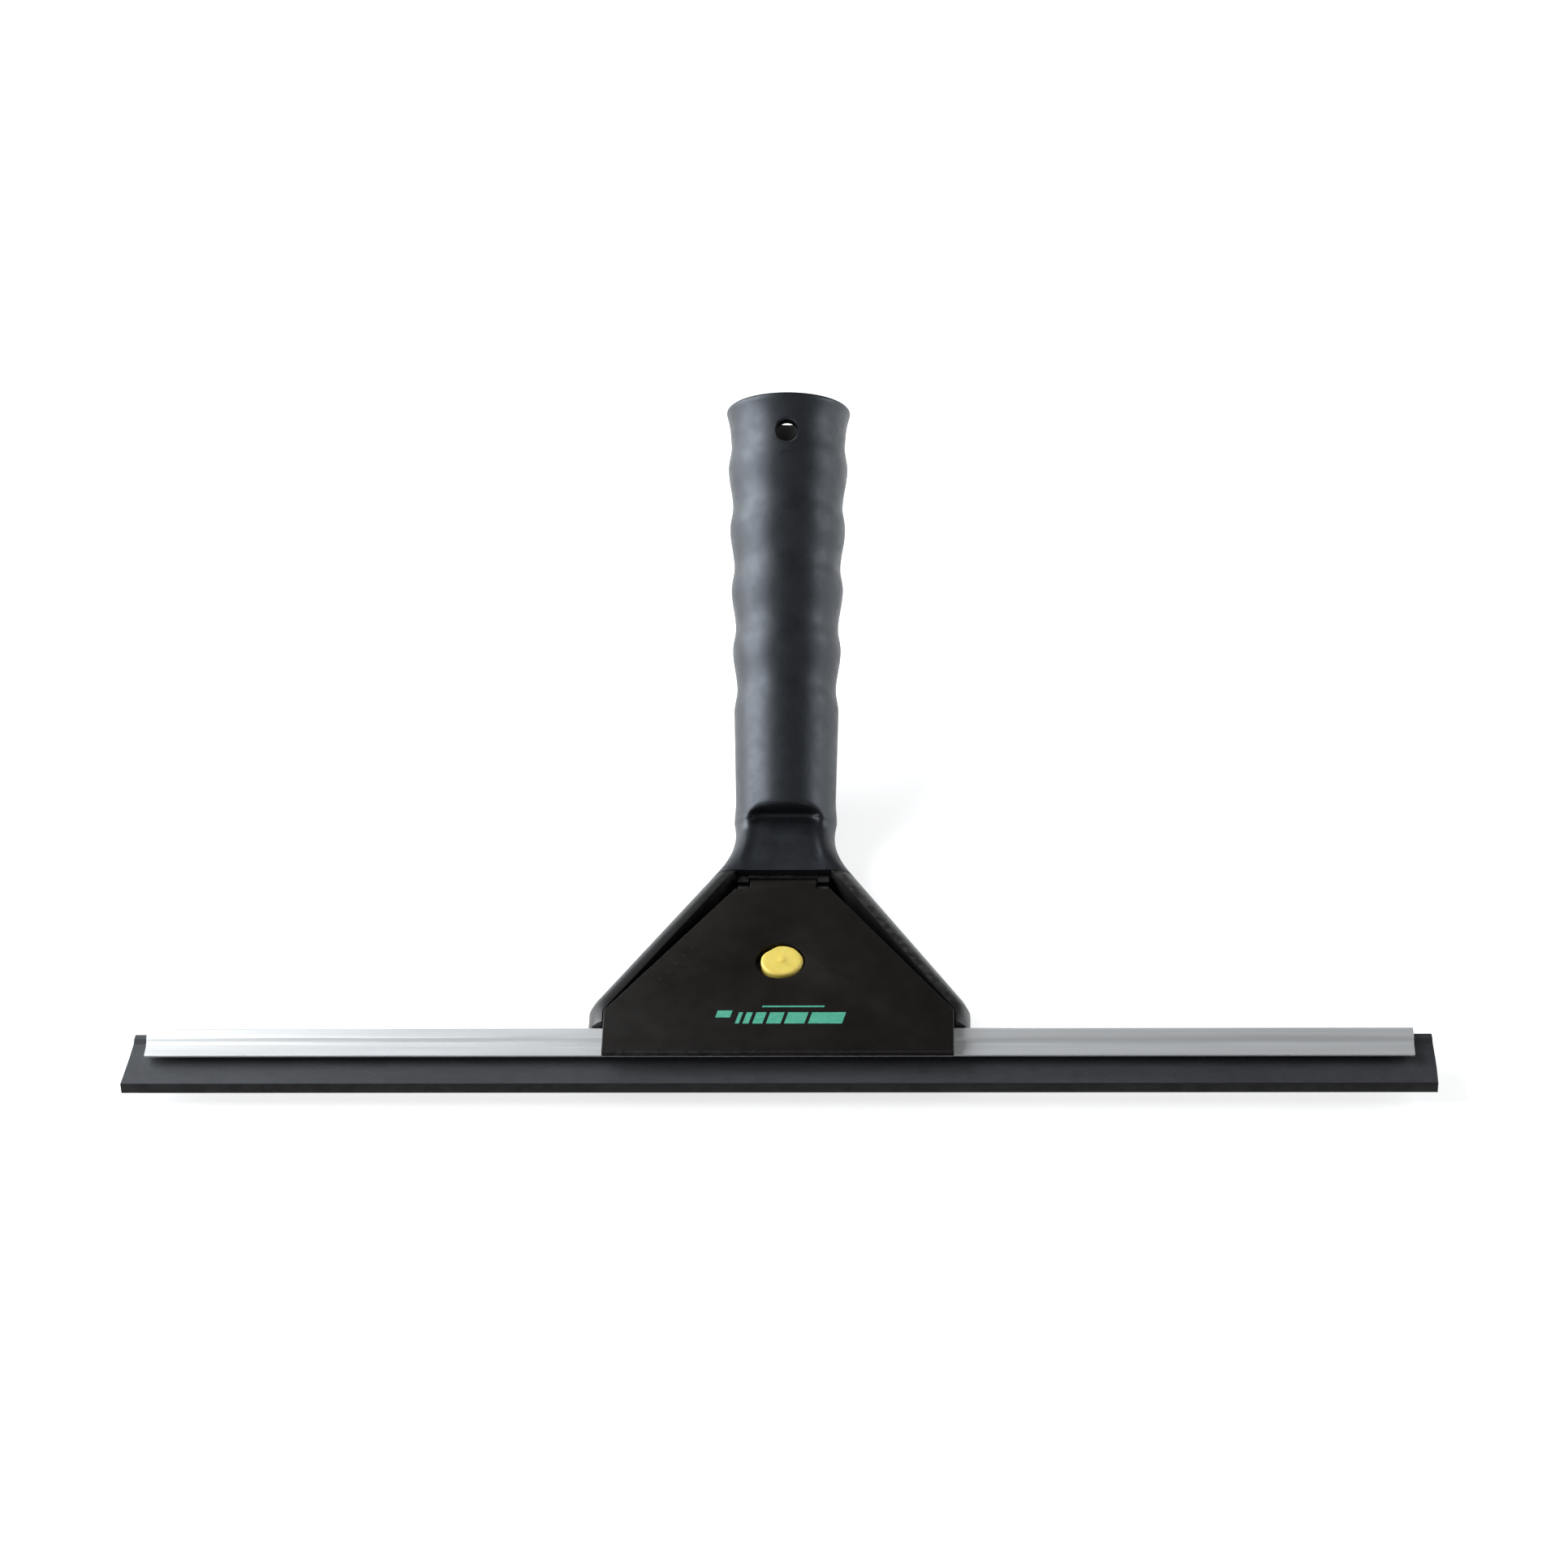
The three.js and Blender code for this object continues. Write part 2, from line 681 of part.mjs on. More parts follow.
// Mirrors one side of a [z, y] profile and draws it out along X.
function symmetricBar(side, length) {
  const other = side
    .filter(([z]) => z > 0)
    .map(([z, y]) => [-z, y])
    .reverse();
  return bar(outlineOf([...side, ...other].map(([z, y]) => [y, z]).reverse()), -length / 2, length / 2);
}

// The aluminium channel: a closed top, a fine ridge, a pinch that holds the blade, flared lips.
function channel() {
  const foot = -CHANNEL_HEIGHT;
  const outside = [
    [0, 0],
    [3.2, 0],
    [3.7, -0.2],
    [3.9, -0.7],
    [3.9, -3.5],
    [3.75, -4.1],
    [3.1, -5],
    [3, -5.8],
    [3.2, -7],
    [4.1, foot + 0.2],
    [3.9, foot],
  ];
  const inside = [
    [3.3, foot + 0.1],
    [2.3, -7],
    [2.1, -5.7],
    [2.3, -4.7],
    [3, -3.9],
    [3, -1.1],
    [2.8, -0.9],
    [0, -0.9],
  ];
  return symmetricBar([...outside, ...inside], CHANNEL_LENGTH);
}

function rubberBlade() {
  return symmetricBar(
    [
      [0, -1.3],
      [2.4, -1.3],
      [2.6, -1.6],
      [2.6, -3.1],
      [1.6, -4.3],
      [1.5, -6],
      [1.4, -10],
      [1.5, -14],
      [1.8, LIP_Y + 0.2],
      [1.8, LIP_Y],
      [0, LIP_Y],
    ],
    BLADE_LENGTH,
  );
}

// ---- Assembly -------------------------------------------------------------------------------

function finish(color, roughness, metalness = 0) {
  return new THREE.MeshStandardMaterial({ color, roughness, metalness });
}

const looks = {
  hardPlastic: () => finish(0x1c1a19, 0.45),
  softGrip: () => finish(0x2b2c2f, 0.7),
  yellowPlastic: () => finish(0xf6de6c, 0.45),
  steel: () => finish(0xb8bbc0, 0.3, 1),
  aluminium: () => finish(0xd3d7d8, 0.4, 1),
  rubber: () => finish(0x2e2f34, 0.75),
};

const squeegee = new THREE.Group();

function addPiece(name, body, material) {
  const mesh = new THREE.Mesh(geometryOf(body), material);
  mesh.name = name;
  squeegee.add(mesh);
}

addPiece("handle_core", handleCore(), looks.hardPlastic());
addPiece("grip_sleeve", gripSleeve(), looks.softGrip());
addPiece("clamp_flap", clampFlap(), looks.hardPlastic());
addPiece("hinge_pin", hingePin(), looks.steel());
addPiece("flap_spring", flapSpring(), looks.steel());
addPiece("release_button", releaseButton(), looks.yellowPlastic());
addPiece("button_spring", buttonSpring(), looks.steel());
addPiece("back_cover", backCover(), looks.hardPlastic());
screwPlaces().forEach((place, index) => {
  addPiece(`cover_screw_${index + 1}`, coverScrew(place), looks.steel());
});
addPiece("channel", channel(), looks.aluminium());
addPiece("rubber_blade", rubberBlade(), looks.rubber());
addPiece("jaw_pad_left", jawPad(-1), looks.rubber());
addPiece("jaw_pad_right", jawPad(1), looks.rubber());

const box = new THREE.Box3().setFromObject(squeegee);
squeegee.position.set(-(box.min.x + box.max.x) / 2, -(box.min.y + box.max.y) / 2, -box.min.z);

export default squeegee;
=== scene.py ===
# Looks of a window squeegee that lies on its back: soft grip, clamp head, channel and blade.
import math

import bmesh
import bpy
import numpy as np
from mathutils import Matrix, Vector


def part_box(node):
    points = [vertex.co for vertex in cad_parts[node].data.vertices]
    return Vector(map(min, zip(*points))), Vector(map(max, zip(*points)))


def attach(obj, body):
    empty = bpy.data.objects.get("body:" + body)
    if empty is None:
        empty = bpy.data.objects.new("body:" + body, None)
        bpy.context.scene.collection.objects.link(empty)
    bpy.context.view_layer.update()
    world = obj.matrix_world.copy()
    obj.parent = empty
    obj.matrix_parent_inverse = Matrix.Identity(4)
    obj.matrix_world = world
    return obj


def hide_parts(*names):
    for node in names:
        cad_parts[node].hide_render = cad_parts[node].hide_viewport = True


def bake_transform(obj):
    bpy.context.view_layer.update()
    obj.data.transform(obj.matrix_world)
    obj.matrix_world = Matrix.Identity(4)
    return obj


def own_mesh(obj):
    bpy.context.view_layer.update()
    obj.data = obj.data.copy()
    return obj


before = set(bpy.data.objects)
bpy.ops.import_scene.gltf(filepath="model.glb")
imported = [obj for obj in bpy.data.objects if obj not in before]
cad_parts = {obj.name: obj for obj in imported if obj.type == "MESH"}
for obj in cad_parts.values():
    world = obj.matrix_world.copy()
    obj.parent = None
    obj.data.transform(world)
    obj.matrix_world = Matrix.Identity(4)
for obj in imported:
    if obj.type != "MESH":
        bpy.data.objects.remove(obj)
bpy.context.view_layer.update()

# ---- Places ---------------------------------------------------------------------------------

# Pieces are drawn in the head frame, in millimetres: X along the channel, Y from the blade
# towards the handle, Z out of the front. Its low corner is at JAW_END_Y and BACK_Z.
MM = 0.001
JAW_END_Y = -12.0
BACK_Z = -7.0
CORE_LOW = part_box("handle_core")[0]
HEAD = Vector((0, CORE_LOW.y - JAW_END_Y * MM, CORE_LOW.z - BACK_Z * MM))

BEND_Y = 86.0
BEND = math.radians(31.5)
ALONG = Vector((0, math.cos(BEND), math.sin(BEND)))  # along the handle
FRONT = Vector((0, -math.sin(BEND), math.cos(BEND)))  # out of the handle's front
HANDLE_LENGTH = 125.0


def on_handle(x, along, front):
    """A point given along the handle, in the head frame."""
    return Vector((x, BEND_Y, 0)) + ALONG * along + FRONT * front


HANDLE_PLACE = Matrix.Translation((0, BEND_Y, 0)) @ Matrix.Rotation(BEND, 4, "X")


# ---- Mesh tools -----------------------------------------------------------------------------


def mesh_object(name, points, faces):
    """An object from points in the head frame, in millimetres."""
    mesh = bpy.data.meshes.new(name)
    mesh.from_pydata([HEAD + Vector(p) * MM for p in points], [], faces)
    mesh.update()
    made = bpy.data.objects.new(name, mesh)
    bpy.context.scene.collection.objects.link(made)
    return made


def apply_modifier(target, kind, **settings):
    modifier = target.modifiers.new(kind.lower(), kind)
    for key, value in settings.items():
        setattr(modifier, key, value)
    bpy.context.view_layer.objects.active = target
    bpy.ops.object.modifier_apply(modifier=modifier.name)


def edit(target, *steps):
    """Runs bmesh steps on an object's mesh."""
    work = bmesh.new()
    work.from_mesh(target.data)
    for step in steps:
        step(work)
    work.to_mesh(target.data)
    work.free()


def outward(work):
    bmesh.ops.recalc_face_normals(work, faces=work.faces)


def carve(target, *tools):
    """Cuts the tools out of a piece and deletes them."""
    for tool in tools:
        apply_modifier(target, "BOOLEAN", operation="DIFFERENCE", solver="MANIFOLD", object=tool)
        bpy.data.objects.remove(tool)


def round_edges(target, width, segments, angle):
    """A bevel of a width in millimetres on edges sharper than an angle in degrees."""
    apply_modifier(
        target,
        "BEVEL",
        width=width * MM,
        segments=segments,
        limit_method="ANGLE",
        angle_limit=math.radians(angle),
    )


def soften(target, width, segments=3, angle=35):
    """Merges flat facets, then rounds the sharp edges with arcs where they meet."""
    edit(
        target,
        lambda work: bmesh.ops.remove_doubles(work, verts=work.verts, dist=0.004 * MM),
        lambda work: bmesh.ops.dissolve_limit(
            work, angle_limit=math.radians(1), verts=work.verts, edges=work.edges
        ),
    )
    apply_modifier(
        target,
        "BEVEL",
        width=width * MM,
        segments=segments,
        limit_method="ANGLE",
        angle_limit=math.radians(angle),
        use_clamp_overlap=True,
        miter_outer="MITER_ARC",
    )


def finished(target, paint, body, node=None, angle=35):
    """Smooth shading, the material, and the place of a piece in the frame."""
    target.data.shade_smooth()
    target.data.set_sharp_from_angle(angle=math.radians(angle))
    target.data.materials.clear()
    target.data.materials.append(paint)
    if body:
        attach(target, body)
    if node:
        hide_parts(node)


def from_node(name, node):
    """A copy of a CAD node's mesh as an object of its own."""
    made = bpy.data.objects.new(name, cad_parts[node].data.copy())
    bpy.context.scene.collection.objects.link(made)
    return made


def turned(name, profile, place, segments=64):
    """A closed profile of (radius, distance) turned about the local Y axis of a place."""
    points, faces = [], []
    count = len(profile)
    for step in range(segments):
        angle = 2 * math.pi * step / segments
        for radius, along in profile:
            spot = Vector((radius * math.cos(angle), along, radius * math.sin(angle)))
            points.append(place @ spot)
    for step in range(segments):
        here, there = step * count, (step + 1) % segments * count
        for row in range(count - 1):
            faces.append((here + row, here + row + 1, there + row + 1, there + row))
    made = mesh_object(name, points, faces)
    edit(
        made,
        lambda work: bmesh.ops.remove_doubles(work, verts=work.verts, dist=0.001 * MM),
        outward,
    )
    return made


def upright_front(x, y, z=0.0):
    """A place whose local Y axis points out of the head's front."""
    return Matrix.Translation((x, y, z)) @ Matrix.Rotation(math.pi / 2, 4, "X")


def prism(name, outline, low, high, axis="Z"):
    """An outline drawn out along Z, or a (y, z) outline drawn out along X."""
    def spot(point, level):
        return (*point, level) if axis == "Z" else (level, *point)

    count = len(outline)
    points = [spot(p, low) for p in outline] + [spot(p, high) for p in outline]
    faces = [tuple(range(count)), tuple(range(count, 2 * count))]
    faces += [(i, (i + 1) % count, count + (i + 1) % count, count + i) for i in range(count)]
    made = mesh_object(name, points, faces)
    edit(made, outward)
    return made


def box(name, low, high):
    outline = [(low[0], low[1]), (high[0], low[1]), (high[0], high[1]), (low[0], high[1])]
    return prism(name, outline, low[2], high[2])


# ---- Materials ------------------------------------------------------------------------------

LIP_SHADE_DEPTH = 0.3  # how far up the blade the painted shade on its lip's face reaches


class Paint:
    """A Principled material with procedural colour, roughness and bump, in object space."""

    def __init__(self, name, roughness, metallic=0.0, specular=0.5):
        self.material = bpy.data.materials.new(name)
        self.material.use_nodes = True
        self.nodes = self.material.node_tree.nodes
        self.links = self.material.node_tree.links
        self.shader = self.nodes["Principled BSDF"]
        self.shader.inputs["Metallic"].default_value = metallic
        self.shader.inputs["Roughness"].default_value = roughness
        self.shader.inputs["Specular IOR Level"].default_value = specular
        self.space = self.nodes.new("ShaderNodeTexCoord").outputs["Object"]
        self.height = None

    def stretched(self, x, y, z):
        """Object space with its axes scaled, for lines and brushed grain."""
        mapping = self.nodes.new("ShaderNodeMapping")
        mapping.inputs["Scale"].default_value = (x, y, z)
        self.links.new(self.space, mapping.inputs["Vector"])
        return mapping.outputs["Vector"]

    def noise(self, size, detail=3.0, rough=0.6, space=None):
        """Noise with features of a size in millimetres."""
        node = self.nodes.new("ShaderNodeTexNoise")
        node.inputs["Scale"].default_value = 1 / (size * MM)
        node.inputs["Detail"].default_value = detail
        node.inputs["Roughness"].default_value = rough
        self.links.new(space or self.space, node.inputs["Vector"])
        return node.outputs["Fac"]

    def spread(self, value, low, high, start=0.35, end=0.65):
        """Maps a noise value from start..end to low..high."""
        node = self.nodes.new("ShaderNodeMapRange")
        for key, number in zip(("From Min", "From Max", "To Min", "To Max"), (start, end, low, high)):
            node.inputs[key].default_value = number
        self.links.new(value, node.inputs["Value"])
        return node.outputs["Result"]

    def blend(self, factor, first, second):
        node = self.nodes.new("ShaderNodeMix")
        node.data_type = "RGBA"
        self.links.new(factor, node.inputs["Factor"])
        for socket, colour in ((node.inputs[6], first), (node.inputs[7], second)):
            if isinstance(colour, tuple):
                socket.default_value = (*colour, 1)
            else:
                self.links.new(colour, socket)
        return node.outputs[2]

    def colour(self, output):
        self.links.new(output, self.shader.inputs["Base Color"])

    def roughness(self, output):
        self.links.new(output, self.shader.inputs["Roughness"])

    def bump(self, value, depth, strength=1.0):
        """Adds relief with a depth in millimetres."""
        node = self.nodes.new("ShaderNodeBump")
        node.inputs["Distance"].default_value = depth * MM
        node.inputs["Strength"].default_value = strength
        self.links.new(value, node.inputs["Height"])
        if self.height:
            self.links.new(self.height, node.inputs["Normal"])
        self.height = node.outputs["Normal"]
        self.links.new(self.height, self.shader.inputs["Normal"])

    def edge_wear(self, base, worn, start=0.53, end=0.62):
        """Lighter, rubbed colour along convex edges, broken up by noise."""
        geometry = self.nodes.new("ShaderNodeNewGeometry")
        edge = self.spread(geometry.outputs["Pointiness"], 0, 1, start, end)
        broken = self.nodes.new("ShaderNodeMath")
        broken.operation = "MULTIPLY"
        self.links.new(edge, broken.inputs[0])
        self.links.new(self.spread(self.noise(2.2), 0, 1, 0.4, 0.62), broken.inputs[1])
        return self.blend(broken.outputs[0], base, worn)


def soft_grip_paint():
    """Cool grey-black soft plastic with a spark-eroded texture."""
    paint = Paint("soft_grip", roughness=0.45, specular=0.7)
    mottled = paint.blend(
        paint.spread(paint.noise(9), 0, 1), (0.0058, 0.0064, 0.0078), (0.0092, 0.0101, 0.0122)
    )
    speckled = paint.blend(
        paint.spread(paint.noise(0.35, 2), 0, 0.45), mottled, (0.021, 0.023, 0.027)
    )
    paint.colour(paint.edge_wear(speckled, (0.035, 0.038, 0.043)))
    paint.roughness(paint.spread(paint.noise(5), 0.40, 0.50))
    paint.bump(paint.noise(0.30, 2), 0.035, 0.55)
    paint.bump(paint.noise(1.6, 2), 0.04, 0.3)
    paint.shader.inputs["Specular Tint"].default_value = (0.84, 0.91, 1.0, 1.0)
    return paint.material


def hard_plastic_paint(name, dark, light, low, high, grain, specular=0.5):
    """Moulded ABS: near-black, with a faint flow pattern, rubbed edges and fine scratches."""
    paint = Paint(name, roughness=low, specular=specular)
    flow = paint.noise(14, 3, 0.6, paint.stretched(1, 0.45, 1))
    base = paint.blend(paint.spread(flow, 0, 1), dark, light)
    paint.colour(paint.edge_wear(base, (0.045, 0.044, 0.043), 0.56, 0.68))
    paint.roughness(paint.spread(paint.noise(6), low, high))
    paint.bump(paint.noise(0.28, 2), grain, 0.4)
    scratches = paint.noise(0.9, 2, 0.5, paint.stretched(0.06, 1, 1))
    paint.bump(paint.spread(scratches, 0, 1, 0.70, 0.76), 0.004, 0.12)
    return paint.material


def yellow_paint():
    """Yellow plastic, slightly soiled."""
    paint = Paint("yellow_plastic", roughness=0.4, specular=0.45)
    base = paint.blend(paint.spread(paint.noise(2.5), 0, 1), (0.93, 0.70, 0.125), (1.0, 0.79, 0.18))
    soiled = paint.blend(paint.spread(paint.noise(0.7), 0, 0.25, 0.62, 0.8), base, (0.66, 0.45, 0.06))
    paint.colour(paint.edge_wear(soiled, (1.0, 0.84, 0.32), 0.55, 0.7))
    paint.roughness(paint.spread(paint.noise(1.5), 0.34, 0.5))
    paint.bump(paint.noise(0.4, 2), 0.02, 0.4)
    paint.shader.inputs["Subsurface Weight"].default_value = 0.08
    paint.shader.inputs["Subsurface Scale"].default_value = 0.5 * MM
    return paint.material


def aluminium_paint():
    """Satin anodised aluminium with die lines along its length."""
    paint = Paint("aluminium", roughness=0.42, metallic=0.42, specular=0.5)
    lines = paint.noise(0.5, 3, 0.6, paint.stretched(0.004, 1, 1))
    broad = paint.noise(30, 2, 0.5, paint.stretched(0.5, 1, 1))
    base = paint.blend(paint.spread(lines, 0, 1), (0.74, 0.75, 0.755), (0.83, 0.835, 0.84))
    cloudy = paint.blend(paint.spread(broad, 0, 0.4), base, (0.73, 0.725, 0.70))
    paint.colour(cloudy)
    paint.roughness(paint.spread(paint.noise(0.4, 2, 0.5, paint.stretched(0.01, 1, 1)), 0.36, 0.52))
    paint.bump(lines, 0.012, 0.5)
    paint.bump(paint.noise(0.25, 2), 0.01, 0.3)
    return paint.material


def blade_rubber_paint():
    """Matte black rubber with a dusty bloom, a few pale specks, and painted shade on its lip's face,
    which is darker and less reflective.
    """
    specular = 0.42
    paint = Paint("blade_rubber", roughness=0.62, specular=specular)
    smear = paint.noise(12, 4, 0.65, paint.stretched(0.25, 1, 1))
    base = paint.blend(paint.spread(smear, 0, 1), (0.036, 0.038, 0.042), (0.052, 0.054, 0.059))
    specks = paint.spread(paint.noise(0.55, 1), 0, 0.8, 0.735, 0.78)
    dusty = paint.blend(specks, base, (0.16, 0.16, 0.16))
    axes = paint.nodes.new("ShaderNodeSeparateXYZ")
    paint.links.new(paint.space, axes.inputs["Vector"])
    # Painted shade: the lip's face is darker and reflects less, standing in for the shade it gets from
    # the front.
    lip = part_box("rubber_blade")[0].y
    span = (lip, lip + LIP_SHADE_DEPTH * MM)
    away = paint.spread(axes.outputs["Y"], 0, 1, *span)
    paint.colour(paint.blend(away, (0.010, 0.010, 0.011), dusty))
    paint.links.new(
        paint.spread(axes.outputs["Y"], 0.12, specular, *span),
        paint.shader.inputs["Specular IOR Level"],
    )
    paint.roughness(paint.spread(paint.noise(4), 0.52, 0.72))
    paint.bump(paint.noise(0.22, 3), 0.02, 0.5)
    paint.bump(paint.noise(0.9, 2, 0.5, paint.stretched(0.05, 1, 1)), 0.015, 0.4)
    return paint.material


def steel_paint(name, colour, roughness):
    """Metal with patches that are a little darker and rougher."""
    paint = Paint(name, roughness=roughness, metallic=1.0)
    base = paint.blend(
        paint.spread(paint.noise(1.2), 0, 1), tuple(0.8 * part for part in colour), colour
    )
    paint.colour(base)
    paint.roughness(paint.spread(paint.noise(0.6), roughness - 0.06, roughness + 0.1))
    paint.bump(paint.noise(0.2, 2), 0.008, 0.4)
    return paint.material


def print_paint():
    """Pad-printed green ink, slightly patchy, with tiny pinholes."""
    paint = Paint("print_ink", roughness=0.5, specular=0.3)
    base = paint.blend(paint.spread(paint.noise(1.5), 0, 1), (0.085, 0.43, 0.29), (0.13, 0.52, 0.36))
    pinholes = paint.spread(paint.noise(0.22, 1), 0, 0.6, 0.66, 0.72)
    paint.colour(paint.blend(pinholes, base, (0.02, 0.05, 0.04)))
    paint.bump(paint.noise(0.2, 2), 0.006, 0.4)
    return paint.material


GRIP = soft_grip_paint()
FRAME = hard_plastic_paint(
    "frame_plastic", (0.0085, 0.0083, 0.0082), (0.0125, 0.012, 0.0118), 0.36, 0.42, 0.006
)
FLAP = hard_plastic_paint(
    "flap_plastic", (0.0072, 0.0056, 0.0045), (0.0112, 0.0090, 0.0075), 0.38, 0.47, 0.02, 0.3
)
COVER = hard_plastic_paint(
    "cover_plastic", (0.010, 0.0098, 0.0095), (0.015, 0.0145, 0.014), 0.38, 0.5, 0.02
)
YELLOW = yellow_paint()
ALUMINIUM = aluminium_paint()
RUBBER = blade_rubber_paint()
STEEL = steel_paint("steel", (0.62, 0.61, 0.60), 0.3)
BLACK_STEEL = steel_paint("blackened_steel", (0.035, 0.034, 0.033), 0.38)
SPRING = steel_paint("spring_steel", (0.50, 0.49, 0.47), 0.26)
PRINT = print_paint()


# ---- Grip -----------------------------------------------------------------------------------

NECK_START_Y = 61.0
NECK_HALF_WIDTH = 14.15
FILLET_RADIUS = 30.0  # where the neck runs out into the rails
FILLET_CENTRE = (NECK_HALF_WIDTH + FILLET_RADIUS, 80.59)
FACET_Z = 6.0  # floor of the thumb rest, level with the rails
WALL_LOW = (84.3, 6.0)  # y, z where the thumb rest ends
WALL_LEAN = -0.52
GRIP_START = 33.1  # the first wave's crest, along the handle
CREST_RADIUS = 15.0
WAVE_HEIGHT = 0.5  # above and below the waves' middle line
WAVE_GROWTH = 0.031  # of the radius for each millimetre along the handle
WAVE_PITCH = 18.4
WAVE_TROUGH = 0.39  # how far through a wave its lowest point comes
FLARE_START = 116.5
RIM_RADIUS = 18.0
RIM_ROUND = 1.1
CORE_RADII = (12.2, 14.6)  # the inner tube at its two ends
HANG_ALONG = 113.7
HANG_RADIUS = 3.4
NECK_ROUND = 7.4  # how far in the rounding of the neck's sides reaches
RAIL_ROUND = 5.6  # how far in the rounding of the rails' outer sides reaches
RAIL_ROUND_DEPTH = 6.5
RAIL_SLANT = math.radians(31.9)  # rails lean in by this much from the Y axis
REST_HALF_WIDTH = 10.5
REST_CORNER = 4.4
REST_CREASE = 3.4  # how widely the thumb rest's floor and walls merge
TONGUE = ((-10.3, 50, -5.3), (10.3, 93.3, 4.0))  # the core's tongue inside the neck
MARK_ALONG = 105.4
MARK_RADII = (1.55, 1.75)
MARK_DEPTH = 0.05
AROUND = 176  # points round each cross-section of the grip


def smooth(part):
    """Eases from 0 to 1 as part does."""
    part = np.clip(part, 0, 1)
    return part * part * (3 - 2 * part)


def smax(a, b, k):
    """The larger of two distances, with the crease between them rounded."""
    return np.maximum(a, b) + np.maximum(k - np.abs(a - b), 0) ** 2 / (4 * k)


def smin(a, b, k):
    """The smaller of two distances, with the crease between them rounded."""
    return -smax(-a, -b, k)


def grip_radius(along):
    """A taper, then finger waves, then a flared rim."""
    taper = NECK_HALF_WIDTH + (CREST_RADIUS - NECK_HALF_WIDTH) * along / GRIP_START
    below = NECK_HALF_WIDTH + 0.35 * along
    wave_end = np.minimum(along, FLARE_START)
    part = np.mod((wave_end - GRIP_START) / WAVE_PITCH, 1)
    phase = np.where(
        part < WAVE_TROUGH, 0.5 * part / WAVE_TROUGH, 0.5 + 0.5 * (part - WAVE_TROUGH) / (1 - WAVE_TROUGH)
    )
    middle = CREST_RADIUS - WAVE_HEIGHT + WAVE_GROWTH * (wave_end - GRIP_START)
    waved = middle + WAVE_HEIGHT * np.cos(2 * math.pi * phase)
    flare = np.clip((along - FLARE_START) / (HANDLE_LENGTH - RIM_ROUND - FLARE_START), 0, 1)
    radius = waved + (RIM_RADIUS - waved) * flare**1.7
    edge = np.clip(along - (HANDLE_LENGTH - RIM_ROUND), 0, RIM_ROUND)
    radius = radius - RIM_ROUND + np.sqrt(np.maximum(RIM_ROUND**2 - edge**2, 0))
    return np.where(along < 0, below, np.where(along < GRIP_START, taper, radius))


def grip_distance(points):
    """Below zero inside the grip: a round handle on a flat neck with a scooped thumb rest."""
    x, y, z = np.abs(points[..., 0]), points[..., 1], points[..., 2]
    along = (y - BEND_Y) * ALONG.y + z * ALONG.z
    front = (y - BEND_Y) * FRONT.y + z * FRONT.z
    tube = np.hypot(x, front) - grip_radius(along)

    out = (x - FILLET_CENTRE[0], y - FILLET_CENTRE[1])
    below = math.cos(RAIL_SLANT) * out[1] - math.sin(RAIL_SLANT) * out[0] < 0
    rail_side = FILLET_RADIUS + math.cos(RAIL_SLANT) * out[0] + math.sin(RAIL_SLANT) * out[1]
    fillet = np.where(below, rail_side, FILLET_RADIUS - np.hypot(*out))
    end = np.where(y > BEND_Y, np.hypot(x, y - BEND_Y), x) - NECK_HALF_WIDTH
    plan = np.where(y < FILLET_CENTRE[1], fillet, end)
    oval = np.hypot(np.maximum(plan / NECK_ROUND + 1, 0) * -BACK_Z, z) + BACK_Z
    rail = np.hypot(
        np.maximum(plan / RAIL_ROUND + 1, 0) * RAIL_ROUND_DEPTH,
        np.maximum(z - FACET_Z + RAIL_ROUND_DEPTH, 0),
    ) - RAIL_ROUND_DEPTH
    rail = smax(rail, BACK_Z - z, 1.3)
    away = smooth((y - NECK_START_Y) / 9)
    body = smin(tube, rail + (oval - rail) * away, 2.0)

    half_width = REST_HALF_WIDTH + 0.115 * np.maximum(80 - y, 0)
    over = (
        x - half_width + REST_CORNER,
        y - WALL_LOW[0] - WALL_LEAN * (z - WALL_LOW[1]) + REST_CORNER,
    )
    rest = np.hypot(np.maximum(over[0], 0), np.maximum(over[1], 0)) - REST_CORNER
    rest = rest + np.minimum(np.maximum(over[0], over[1]), 0)
    scoop = smax(FACET_Z - z, rest, REST_CREASE)
    crease = 0.7 + 1.0 * smooth((y - 72) / 8)
    return smax(smax(body, -scoop, crease), BACK_Z - z, 1.2)


def grip_stations():
    """Centres and leans of the cross-sections, from the neck to the rim."""
    stations = []
    for y in np.arange(NECK_START_Y, BEND_Y, 0.5):
        stations.append((Vector((0, y, 0)), BEND * float(smooth((y - 64) / 21))))
    alongs = [
        *np.arange(0, 3.2, 0.16),
        *np.arange(3.2, HANDLE_LENGTH - 1.4, 0.85),
        *(HANDLE_LENGTH - RIM_ROUND * (1 - np.sin(np.linspace(0, 1.5, 7)))),
    ]
    for along in alongs:
        stations.append((on_handle(0, along, 0), BEND))
    return stations


def section(centre, lean):
    """Evenly spaced points round one cross-section, by bisection along rays from its middle."""
    angles = np.linspace(-math.pi / 2, 1.5 * math.pi, 721)
    rays = np.stack(
        [np.cos(angles), -math.sin(lean) * np.sin(angles), math.cos(lean) * np.sin(angles)], -1
    )
    low, high = np.zeros(len(angles)), np.full(len(angles), 30.0)
    middle = np.array(centre)
    for _ in range(28):
        radius = (low + high) / 2
        inside = grip_distance(middle + rays * radius[:, None]) < 0
        low, high = np.where(inside, radius, low), np.where(inside, high, radius)
    ring = middle + rays * low[:, None]
    length = np.concatenate([[0], np.cumsum(np.linalg.norm(np.diff(ring, axis=0), axis=1))])
    wanted = np.linspace(0, length[-1], AROUND + 1)[:-1]
    return np.stack([np.interp(wanted, length, ring[:, axis]) for axis in range(3)], -1)


